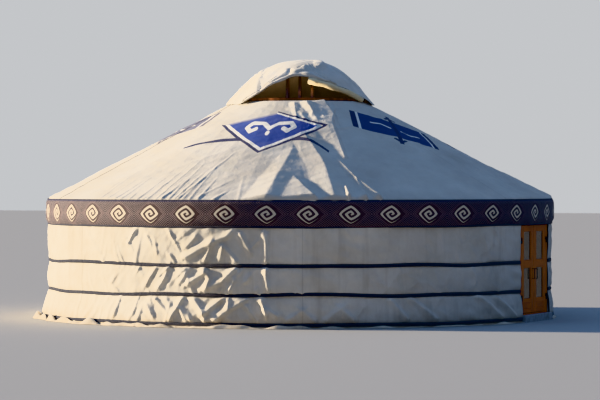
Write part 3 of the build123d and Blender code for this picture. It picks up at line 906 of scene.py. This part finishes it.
def makeBelt():
    cotton = newMaterial("printedCottonBelt", beltPaint, Roughness=0.8, Sheen_Weight=0.15)
    hem, share = belt["hem"], 2 * math.pi / belt["pieces"]
    sweep = share + belt["lap"]
    width, length = sweep * bandRadius, beltTop + hem
    for index in range(belt["pieces"]):
        start = math.radians(yurt["doorDirection"]) + (index - 0.5) * share

        def place(across, up):
            angle, along = start + sweep * across, up * length - hem
            under = np.clip(-along, 0, None)
            radius, height, outR, outZ = eaveProfile(np.maximum(along, 0))
            off = beltRelief(angle, np.maximum(along, 0))
            inward = 0.008 * np.clip(under / 0.008, 0, 1)
            height = height + off * outZ + np.maximum(under - 0.006, 0)
            height = height + beltSag(angle) * np.clip(1 - along / 0.25, 0, 1)
            return polar(radius + off * outR - inward, angle, height)

        sheet = makeSheet(f"belt_{index + 1}", belt["columns"], belt["rows"], (width, length), place)
        # the pattern runs on from one piece to the next
        uv = sheet.data.uv_layers["UVMap"].data
        held = np.empty(len(uv) * 2)
        uv.foreach_get("uv", held)
        held[0::2] += (start % (2 * math.pi)) * bandRadius
        uv.foreach_set("uv", held)
        dress(sheet, cotton, stands=[f"eave_band_{index + 1}"])


def hoop(name, radius, height, across, tall, start, end, steps, relief=None):
    # a cord or strap swept round the axis, flattened to its width and thickness
    bm = bmesh.new()
    bmesh.ops.create_circle(bm, segments=10, radius=0.5)
    turn = Matrix.Rotation(start, 4, "Z") @ Matrix.Translation((radius, 0, height))
    turn = turn @ Matrix.Rotation(math.pi / 2, 4, "X") @ Matrix.Diagonal((across, tall, 1, 1))
    bmesh.ops.transform(bm, matrix=turn, verts=bm.verts)
    full = abs(end - start - 2 * math.pi) < 1e-6
    bmesh.ops.spin(bm, geom=bm.edges[:], cent=(0, 0, 0), axis=(0, 0, 1), angle=end - start, steps=steps, use_merge=full)
    if not full:
        bmesh.ops.holes_fill(bm, edges=[e for e in bm.edges if e.is_boundary])
    bmesh.ops.recalc_face_normals(bm, faces=bm.faces)
    uvs = bm.loops.layers.uv.new("UVMap")
    for face in bm.faces:
        for loop in face.loops:
            p = loop.vert.co
            side = math.atan2(p.z - height, math.hypot(p.x, p.y) - radius) / (2 * math.pi)
            loop[uvs].uv = (((math.atan2(p.y, p.x) - start) % (2 * math.pi)) * radius, side * (across + tall))
    if relief:
        for vert in bm.verts:
            angle = math.atan2(vert.co.y, vert.co.x)
            out, up = relief(angle)
            reach = math.hypot(vert.co.x, vert.co.y)
            vert.co = Vector((vert.co.x * (1 + out / reach), vert.co.y * (1 + out / reach), vert.co.z + up))
    return meshPiece(name, bm, smooth=True)


waveRepeat = 0.314  # Blender's wave texture at scale 1 repeats at this many metres


# Webbing and cord: twill woven or twisted yarn, nearly black with a blue cast
def darkCord(name, shade, pitch):
    def paint(tree):
        uv = addNode(tree, "UVMap", uv_map="UVMap")
        slanted = addNode(tree, "Mapping", {"Vector": uv, "Rotation": (0, 0, math.radians(38))})
        twill = addNode(tree, "TexWave", {"Vector": slanted, "Scale": waveRepeat / pitch, "Distortion": 1.2,
                                          "Detail": 2}, output="Fac")
        dust = patches(tree, uv, 16, 5, 0.45, 0.8, 0.4)
        bump = addNode(tree, "Bump", {"Height": twill, "Strength": 0.6, "Distance": 0.003})
        return layPaint(tree, shade, (twill, "#2c3350"), (dust, "#5e5a55")), bump
    return newMaterial(name, paint, Roughness=0.82, Sheen_Weight=0.2)


def cordSag(angle):
    return 0.0, float(beltSag(np.array([angle]))[0])


makeBelt()
webbing = darkCord("twillWebbing", "#0e1222", 0.006)
yarn = darkCord("twistedYarnCord", "#141525", 0.012)
edgeRadius, edgeHeight = [float(v) for v in eaveProfile(0.0)[:2]]
piping = hoop("belt_cord", edgeRadius + 0.001, edgeHeight + 0.011, *belt["cord"], 0, 2 * math.pi,
              belt["cordSteps"], cordSag)
dress(piping, yarn)
topRadius, topHeight = [float(v) for v in eaveProfile(beltTop)[:2]]
topCord = hoop("belt_top_cord", topRadius - 0.003, topHeight + 0.001, belt["topCord"], belt["topCord"], 0,
               2 * math.pi, belt["cordSteps"])
dress(topCord, yarn)
print("belt done")


# Girths: straps from jamb to jamb that bite into the canvas
def girthWander(seed, base):
    def relief(angle):
        at = np.array([angle])
        away = 1 - math.exp(-((math.remainder(angle + math.pi / 2, 2 * math.pi)) / 0.35) ** 2)
        out = float(footOut(at, np.array([base]))[0]) - 0.9 * float(facetDip(at, wallRadius)[0])
        low = min(1.0, max(0.0, (base - 0.03) / 0.1))
        return out, (0.003 + 0.008 * low) * away * float(swell(*polar(wallRadius, at, 0 * at), 0.55, seed)[0])
    return relief


girth = {"out": 0.0095, "thickness": 0.018, "taller": 1.35, "fromJamb": 0.004, "steps": 680}


def makeGirths():
    jamb = math.asin((frameHigh.x + girth["fromJamb"]) / wallRadius)
    for name, seed in (("girth_upper", 51), ("girth_lower", 52), ("girth_hem", 53)):
        low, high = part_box(name)
        height = (low.z + high.z) / 2
        strap = hoop(name + "_strap", wallRadius + girth["out"], height, girth["thickness"],
                     (high.z - low.z) * girth["taller"], -math.pi / 2 + jamb, 1.5 * math.pi - jamb, girth["steps"],
                     girthWander(seed, height))
        dress(strap, webbing, stands=[name])


makeGirths()
print("girths done")

# Crown cover: one canvas stretched over the bows, folded open on one side
crown = {
    "radius": 1.04,
    "columns": 240,
    "rows": 90,
    "roundness": 2.2,
    "peakShift": 0.06,
    "pleats": 17,
    "hatch": ((-0.74, 0), (-0.4, 0.39), (-0.07, 0.62), (0.24, 0.53), (0.56, 0.38), (0.82, 0.17), (0.96, 0)),
    "cut": 2.6,
    "rollTurns": 1.6,
    "rollRadius": 0.056,
    "pleatDepth": 0.022,
    "crumple": 0.013,
    "nearer": 0.016,  # the cloth lies this far inside the node's outline
    "flap": (-50, 88),  # where it starts, in degrees from the opening's middle, and how far it runs
    "roll": (8, 54),
}
# Folds as (path of angle from the opening's middle and climb, width left, width right, height)
crownFolds = [
    (((-42.7, 0.23), (-55.0, 0.42), (-84.0, 0.60)), 0.26, 0.014, 0.030),
    (((30.0, 0.62), (64.0, 0.80)), 0.20, 0.12, 0.034),
    (((-64.0, 0.02), (-66.0, 0.36)), 0.05, 0.05, 0.018),
    (((-86.0, 0.02), (-80.0, 0.44)), 0.06, 0.05, 0.020),
    (((60.0, 0.10), (48.0, 0.52)), 0.07, 0.07, 0.014),
    (((84.0, 0.02), (60.0, 0.60)), 0.06, 0.08, 0.016),
    (((120.0, 0.02), (116.0, 0.50)), 0.07, 0.06, 0.020),
    (((160.0, 0.02), (172.0, 0.60)), 0.08, 0.06, 0.020),
    (((-120.0, 0.02), (-128.0, 0.55)), 0.07, 0.07, 0.020),
]
crownCreases = [([(math.radians(a), c * 1.3) for a, c in path], (left, left), (right, right), (tall, tall * 0.7))
                for path, left, right, tall in crownFolds]


def hatchRise(local):
    # height of the open side's edge, as a share of the rise, at an angle from the hatch's middle
    angles, rises = [], []
    for y, z in crown["hatch"]:
        angles.append(math.asin(max(-1, min(1, y / (1 - z) ** (1 / crown["roundness"])))))
        rises.append(z)
    spread = [np.interp(local + off, angles, rises, left=0, right=0) for off in (-0.12, -0.06, 0, 0.06, 0.12)]
    return np.mean(spread, axis=0)


def hatchClimb(local):
    return np.arcsin(np.clip(hatchRise(local), 0, 1)) / (math.pi / 2)


def crownPoint(local, climb, lift=0.0):
    # climb runs from 0 at the rim to 1 at the peak
    rise = np.sin(climb * math.pi / 2)
    spread = np.clip(1 - rise, 0, 1) ** (1 / crown["roundness"])
    angle, radius = local + math.radians(yurt["hatchDirection"]), crown["radius"] * spread
    x, y, z = polar(radius, angle, crownRise * rise)
    pleat = np.abs(np.sin(crown["pleats"] * local / 2 + 0.8 * np.sin(2 * local)))
    off = crown["pleatDepth"] * (pleat - 0.5) * np.clip(1 - climb * 1.5, 0, 1)
    warp = 0.08 * swell(x, y, z, 1.5, 61)
    crumple = np.maximum(tent((x + warp) / 0.37 + z / 0.5), tent((y - warp) / 0.33 - z / 0.6))
    calm = 1 - 0.75 * facing(local, 0, 0.8)
    off += crown["crumple"] * crumple**1.6 * calm * np.clip(0.35 + climb, 0, 1) + 0.004 * swell(x, y, z, 2.2, 62)
    off += creaseRelief(local, climb * 1.3, crownCreases)
    off += lift - crown["nearer"]
    x, y, z = polar(radius + off * spread, angle, crownBase + 0.006 + z + off * rise)
    side = math.radians(yurt["viewDirection"] + 90)
    shift = crown["peakShift"] * rise**2
    return x + shift * math.cos(side), y + shift * math.sin(side), z


def crownPaint(tree):
    place = addNode(tree, "TexCoord", output="Object")
    return canvasColour(tree, place), canvasNormal(tree, place)


def makeCrownCover():
    canvas = newMaterial("cottonCanvasCrown", crownPaint, **canvasLook["finish"])
    # newer cotton, pale yellow, made near white and yellower as painted sunlight, with the weave's soft shading
    sunPaintedLining = mottled("cottonLiningPaintedSunlit", "#fff0cc", "#f3dba8", 9, 5, 0.6, Roughness=0.85, Sheen_Weight=0.2,
                     bumps=(canvasLook["creases"], canvasLook["weave"]))

    def place(across, up):
        local = (across - 0.5) * 2 * math.pi
        low = hatchClimb(local)
        return crownPoint(local, low + (1 - low) * up)

    sheet = makeSheet("crown_canvas", crown["columns"], crown["rows"], (2 * math.pi * crown["radius"], 1.35), place,
                      closed=True)
    dress(sheet, canvas, stands=["crown_cover"])

    # the open side's cloth lies folded back over the edge
    def placeFlap(across, up):
        start, sweep = [math.radians(v) for v in crown["flap"]]
        local = start + sweep * across
        wide = 0.04 + 0.20 * np.sin(math.pi * np.clip(across * 1.05, 0, 1)) ** 0.6
        wide *= 1 + 0.25 * swell(across, 0 * across, 0 * across, 2.6, 64)
        roll = 0.018 * np.sin(math.pi * np.clip(up * 4, 0, 1)) * (up < 0.25)
        pucker = 0.008 * np.sin(across * 34 + 4 * up) * up + 0.008 * swell(across * 2, up, 0 * up, 2.0, 65)
        return crownPoint(local, hatchClimb(local) - 0.004 + wide * up, 0.010 + roll + np.abs(pucker))

    flap = makeSheet("crown_flap", 120, 30, (1.5, 0.30), placeFlap)
    dress(flap, canvas)

    # the lining is rolled up below the right half of the edge
    def placeRoll(across, up):
        start, sweep = [math.radians(v) for v in crown["roll"]]

        def middle(at):
            return np.stack(crownPoint(at, hatchClimb(at), 0.022), axis=1) - np.array([0, 0, 0.062])

        path = middle(start + sweep * across)
        way = middle(start + sweep * across + 0.01) - path
        way /= np.linalg.norm(way, axis=1)[:, None]
        side = np.cross(way, [0, 0, 1.0])
        side /= np.linalg.norm(side, axis=1)[:, None]
        turn = 2 * math.pi * crown["rollTurns"] * up
        thick = crown["rollRadius"] * (0.55 + 0.45 * up) * (1 - 0.22 * across + 0.06 * np.sin(across * 17))
        path = path + side * (thick * np.cos(turn))[:, None] + np.cross(side, way) * (thick * np.sin(turn))[:, None]
        return path.T

    roll = makeSheet("crown_roll", 90, 60, (1.0, 0.30), placeRoll)
    dress(roll, sunPaintedLining)


makeCrownCover()
print("crown cover done")


# Timber: light softwood or willow, grain along each piece, oiled or varnished
def timber(name, light, dark, way, roughness, coat=0.0, ringPitch=0.011):
    def paint(tree):
        if way == "board":
            across, along, _ = addNode(tree, "SeparateXYZ", [addNode(tree, "UVMap", uv_map="UVMap")]).node.outputs
        else:
            radius, angle, z = roundPlace(tree, addNode(tree, "TexCoord", output="Object"))
            arc = addNode(tree, "Math MULTIPLY", [angle, wallRadius - 0.08])
            across, along = {"radial": (arc, radius), "round": (radius, arc), "upright": (arc, z)}[way]
        point = addNode(tree, "CombineXYZ", [across, along, 0.0])
        stretched = addNode(tree, "Mapping", {"Vector": point, "Scale": (1, 0.06, 1)})
        rings = addNode(tree, "TexWave", {"Vector": stretched, "Scale": waveRepeat / ringPitch, "Distortion": 7,
                                          "Detail": 3, "Detail Scale": 0.6}, output="Fac", bands_direction="X")
        fibre = {"Scale": 260, "Detail": 3}
        share = addNode(tree, "Mix", {0: 0.35, 2: rings, 3: addNode(tree, "TexNoise", {"Vector": stretched, **fibre})})
        ramp = addNode(tree, "MapRange", [share, 0.2, 0.85])
        clouds = addNode(tree, "TexNoise", {"Vector": point, "Scale": 3.5, "Detail": 3})
        shade = addNode(tree, "MapRange", [clouds, 0.3, 0.7, 0.82, 1.12])
        toned = addNode(tree, "HueSaturation", {"Value": shade, "Color": layPaint(tree, light, (ramp, dark))})
        return toned, noiseBump(tree, stretched, (fibre, 0.25, 0.001))
    return newMaterial(name, paint, Roughness=roughness, Coat_Weight=coat, Coat_Roughness=0.18)


def paintNodes(start, material):
    for name, node in nodes.items():
        if name.startswith(start):
            node.data.materials.clear()
            node.data.materials.append(material)


paintNodes("lattice", timber("oiledWillowLath", "#b5784a", "#7a4724", "upright", 0.55))
paintNodes("roof_poles", timber("oiledWillowPole", "#b8672e", "#7b3c17", "radial", 0.5))
paintNodes("crown_ring", timber("bentBirchRing", "#9a5a2e", "#5e3115", "round", 0.5))
# the bows' wood is darker than the poles', partly its own tone and partly painted shade for the dim inside of the crown
paintNodes("crown_bows", timber("bentBirchBowPaintedShade", "#8a5630", "#53301a", "radial", 0.5))


# Rawhide knots at the lattice crossings
ties = {"cellHeight": 0.54, "forkLength": 0.075, "knotRadius": 0.011, "knotDepth": 0.008, "rows": 7,
        "lowest": 0.05, "highest": 1.58}


def makeKnots():
    # hard dried hide, tan with darker spots
    hide = mottled("driedRawhide", "#c9a877", "#7a5a38", 40, 4, Roughness=0.6)
    flatInner = (wallRadius - 0.0303) * math.cos(bayAngle / 2) - 0.026
    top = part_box("lattice_1")[1].z - ties["forkLength"]
    for index in range(yurt["sections"]):
        bm = bmesh.new()
        for bay in range(yurt["sectionBays"]):
            for half in (0, 0.5):
                angle = firstHead + (index * yurt["sectionBays"] + bay + half) * bayAngle
                radius = flatInner if half else flatInner / math.cos(bayAngle / 2)
                for row in range(ties["rows"]):
                    z = top - (row + half) * ties["cellHeight"]
                    if not ties["lowest"] < z < ties["highest"]:
                        continue
                    place = Matrix.Rotation(angle, 4, "Z") @ Matrix.Translation((radius - 0.002, 0, z))
                    shape = Matrix.Diagonal((ties["knotDepth"], ties["knotRadius"], ties["knotRadius"], 1))
                    bmesh.ops.create_icosphere(bm, subdivisions=1, radius=1, matrix=place @ shape)
        dress(meshPiece(f"lattice_knots_{index + 1}", bm, smooth=True), hide)


makeKnots()
print("timber done")

# Door: boards with eased edges, panes held by beads, in orange varnish
door = {"bevel": 0.003, "bead": 0.012, "stile": 0.099, "railLow": 0.7325, "railHigh": 0.8175, "paneTop": 1.22,
        "panelTop": 0.30, "panelMargin": 0.045, "jamb": 0.055, "step": 0.110, "head": (1.295, 1.38), "capRail": 0.06}


def addBoard(bm, low, high, grain, bevel=door["bevel"]):
    # a planed board between two corners; its UV runs across and along the grain
    piece = bmesh.new()
    low, high = Vector(low), Vector(high)
    shape = Matrix.Translation((low + high) / 2) @ Matrix.Diagonal((*(high - low), 1))
    bmesh.ops.create_cube(piece, size=1, matrix=shape)
    bmesh.ops.bevel(piece, geom=piece.edges[:], offset=bevel, offset_type="OFFSET", segments=2, profile=0.5,
                    affect="EDGES", material=-1)
    uvs = piece.loops.layers.uv.new("UVMap")
    shift = (low.x * 7.3 + low.z * 3.1 + low.y) % 1.7
    for face in piece.faces:
        for loop in face.loops:
            p = loop.vert.co
            loop[uvs].uv = (sum(p[i] for i in range(3) if i != grain) + shift, p[grain] + shift)
    mesh = bpy.data.meshes.new("board")
    piece.to_mesh(mesh)
    piece.free()
    bm.from_mesh(mesh)
    bpy.data.meshes.remove(mesh)


def makeDoor():
    pine = timber("varnishedPine", "#e27f0c", "#a84c02", "board", 0.5, coat=0.12, ringPitch=0.014)
    xLow, yLow, _ = frameLow
    xHigh, yHigh, zHigh = frameHigh
    left, right, middle = xLow + door["jamb"], xHigh - door["jamb"], (yLow + yHigh) / 2
    headLow, headHigh = door["head"]
    capLow = zHigh - door["capRail"]
    bm = bmesh.new()
    addBoard(bm, (xLow, yLow, 0), (left, yHigh, zHigh), 2)
    addBoard(bm, (right, yLow, 0), (xHigh, yHigh, zHigh), 2)
    for y0, z0, y1, z1 in ((yLow, 0, yHigh, door["step"]), (yLow, headLow, yHigh, headHigh),
                           (yLow, capLow, yHigh, zHigh), (middle - 0.011, headHigh, middle + 0.011, capLow)):
        addBoard(bm, (left, y0, z0), (right, y1, z1), 0)
    dress(meshPiece("door_frame_boards", bm), pine, stands=["door_frame"])
    bead, margin, panelTop = door["bead"], door["panelMargin"], door["panelTop"]
    for side, word in ((-1, "left"), (1, "right")):
        low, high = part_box(f"door_leaf_{word}")
        hinge, meeting = (low.x, high.x) if side < 0 else (high.x, low.x)
        x0, x1 = sorted([hinge - side * door["stile"], meeting + side * door["stile"]])
        bm = bmesh.new()
        addBoard(bm, low, (x0, high.y, high.z), 2)
        addBoard(bm, (x1, low.y, low.z), high, 2)
        for z0, z1 in ((low.z, low.z + margin), (panelTop - margin, panelTop), (door["railLow"], door["railHigh"]),
                       (door["paneTop"], high.z)):
            addBoard(bm, (x0, low.y, z0), (x1, high.y, z1), 0)
        addBoard(bm, (x0, low.y + 0.006, low.z + margin), (x1, high.y - 0.004, panelTop - margin), 2, 0.001)
        addBoard(bm, (x0 + bead, low.y, low.z + margin + bead), (x1 - bead, low.y + bead, panelTop - margin - bead), 2,
                 0.005)
        glassFace = (low.y + high.y) / 2 - 0.003
        for z0, z1 in ((panelTop, door["railLow"]), (door["railHigh"], door["paneTop"])):
            for xa, za, xb, zb, grain in ((x0, z0, x0 + bead, z1, 2), (x1 - bead, z0, x1, z1, 2),
                                          (x0 + bead, z0, x1 - bead, z0 + bead, 0),
                                          (x0 + bead, z1 - bead, x1 - bead, z1, 0)):
                addBoard(bm, (xa, glassFace - 0.010, za), (xb, glassFace, zb), grain, 0.002)
        dress(meshPiece(f"door_boards_{word}", bm), pine, body=f"leaf_{word}",
              stands=[f"door_leaf_{word}"])


makeDoor()
# Window glass tinted brown and only part clear, as painted shade that keeps the room behind dim
paintNodes("door_glass", mottled("brownGlassPaintedShade", "#8f7a58", "#6a5a45", 7, 4, Roughness=0.05,
                                 Transmission_Weight=0.55, IOR=1.45))
# Grey floor paint over timber, scuffed to a dull brown by boots
paintNodes("door_sill", mottled("floorPaint", "#b9bcc0", "#8f8a80", 12, 8, 0.7, 0.45, 0.7, Roughness=0.5,
                                bumps=[({"Scale": 12, "Detail": 8, "Roughness": 0.7}, 0.2, 0.002)]))
# Black enamel on iron, glossy, with small brown chips
paintNodes(("hinge", "door_pull"), mottled("blackEnamel", "#17181a", "#4a4038", 90, 4, low=0.6, high=0.75,
                                           Roughness=0.35, Coat_Weight=0.3))
print("door done")

# Studio: a pale floor, a low warm sun from the left and a cool fill
studio = {
    "floor": "#b6b4b0",
    "floorSize": 120,
    "keyDirection": 102.0,
    "keyHeight": 12.4,
    "keySize": 3.0,
    "keyPower": 9.2,
    "keyTint": (1.0, 0.84, 0.62),
    "fillPower": 0.52,
    "fillTint": (0.33, 0.57, 1.04, 1),
    "lowTint": (0.85, 0.78, 0.72, 1),
    "backdrop": 0.62,
    "backdropTint": (0.95, 0.97, 1.0, 1),
    "crownGlow": 0.8,
    "crownTint": (1.0, 0.72, 0.46),
    "crownLamp": (0.1, 0.25, 3.0),
    "lipGlow": 60.0,
    "lipCone": 38.0,
    # out from the axis through the open side, to its right, and up
    "lipLamp": (0.86, -0.30, 3.12),
    "lipAim": (0.86, 0.50, 3.24),
}


def addLight(name, kind, power, tint, rotation, location=(0, 0, 0), **settings):
    light = bpy.data.lights.new(name, kind)
    light.energy, light.color = power, tint
    for setting, value in settings.items():
        setattr(light, setting, value)
    placed = addObject(name, light)
    placed.location, placed.rotation_euler = location, rotation


def makeLights():
    around, height = math.radians(studio["keyDirection"]), math.radians(studio["keyHeight"])
    toward = Vector((math.cos(around) * math.cos(height), math.sin(around) * math.cos(height), math.sin(height)))
    addLight("key", "SUN", studio["keyPower"], studio["keyTint"], toward.to_track_quat("Z", "Y").to_euler(),
             angle=math.radians(studio["keySize"]))
    # daylight that the thin crown cloth lets through
    addLight("crownGlow", "AREA", studio["crownGlow"], studio["crownTint"], (math.pi, 0, 0),
             studio["crownLamp"], size=0.5)
    # low sun that reaches the rolled lining through the open side
    ahead = math.radians(yurt["hatchDirection"])
    out, right = Vector((math.cos(ahead), math.sin(ahead), 0)), Vector((-math.sin(ahead), math.cos(ahead), 0))
    lamp, lit = [out * o + right * r + Vector((0, 0, z)) for o, r, z in (studio["lipLamp"], studio["lipAim"])]
    addLight("lipGlow", "SPOT", studio["lipGlow"], studio["keyTint"], (lamp - lit).to_track_quat("Z", "Y").to_euler(),
             lamp, spot_size=math.radians(studio["lipCone"]), spot_blend=0.5, shadow_soft_size=0.03)


def makeWorld():
    world = bpy.data.worlds.new("studio")
    bpy.context.scene.world = world
    world.use_nodes = True
    tree = world.node_tree
    sky = tree.nodes["Background"]
    # most of the fill comes from overhead
    z = addNode(tree, "SeparateXYZ", [addNode(tree, "TexCoord", output="Generated")], output="Z")
    power = addNode(tree, "MapRange", [z, 0.28, 0.92, studio["fillPower"] * 0.10, studio["fillPower"] * 1.55])
    high = addNode(tree, "MapRange", [z, 0.2, 0.7])
    tree.links.new(layPaint(tree, studio["lowTint"], (high, studio["fillTint"])), sky.inputs["Color"])
    tree.links.new(power, sky.inputs["Strength"])
    # the backdrop itself is paler than the light it gives
    plain = addNode(tree, "Background", {"Color": studio["backdropTint"], "Strength": studio["backdrop"]})
    seen = addNode(tree, "LightPath", output="Is Camera Ray")
    mixed = addNode(tree, "MixShader", {0: seen, 1: sky.outputs[0], 2: plain})
    tree.links.new(mixed, tree.nodes["World Output"].inputs["Surface"])


def makeFloor():
    bm = bmesh.new()
    bmesh.ops.create_grid(bm, x_segments=2, y_segments=2, size=studio["floorSize"])
    floor = meshPiece("floor", bm)
    floor.data.materials.append(newMaterial("paleFloor", lambda tree: (toLinear(studio["floor"]), None), Roughness=0.9))


# Camera: low and far, as in the photograph, with the yurt filling more of the frame
camera = {"distance": 40.0, "height": 1.9, "aim": 1.62, "lens": 172.0}


def makeCamera():
    data = bpy.data.cameras.new("camera")
    data.lens = camera["lens"]
    data.clip_end = 400
    view = addObject("camera", data)
    around = math.radians(yurt["viewDirection"])
    view.location = (camera["distance"] * math.cos(around), camera["distance"] * math.sin(around), camera["height"])
    aim = Vector((0, 0, camera["aim"])) - view.location
    view.rotation_euler = aim.to_track_quat("-Z", "Y").to_euler()
    bpy.context.scene.camera = view


makeFloor()
makeLights()
makeWorld()
makeCamera()
bpy.context.scene.view_settings.view_transform = "Khronos PBR Neutral"  # daylight contrast, with soft highlights
print("studio done")
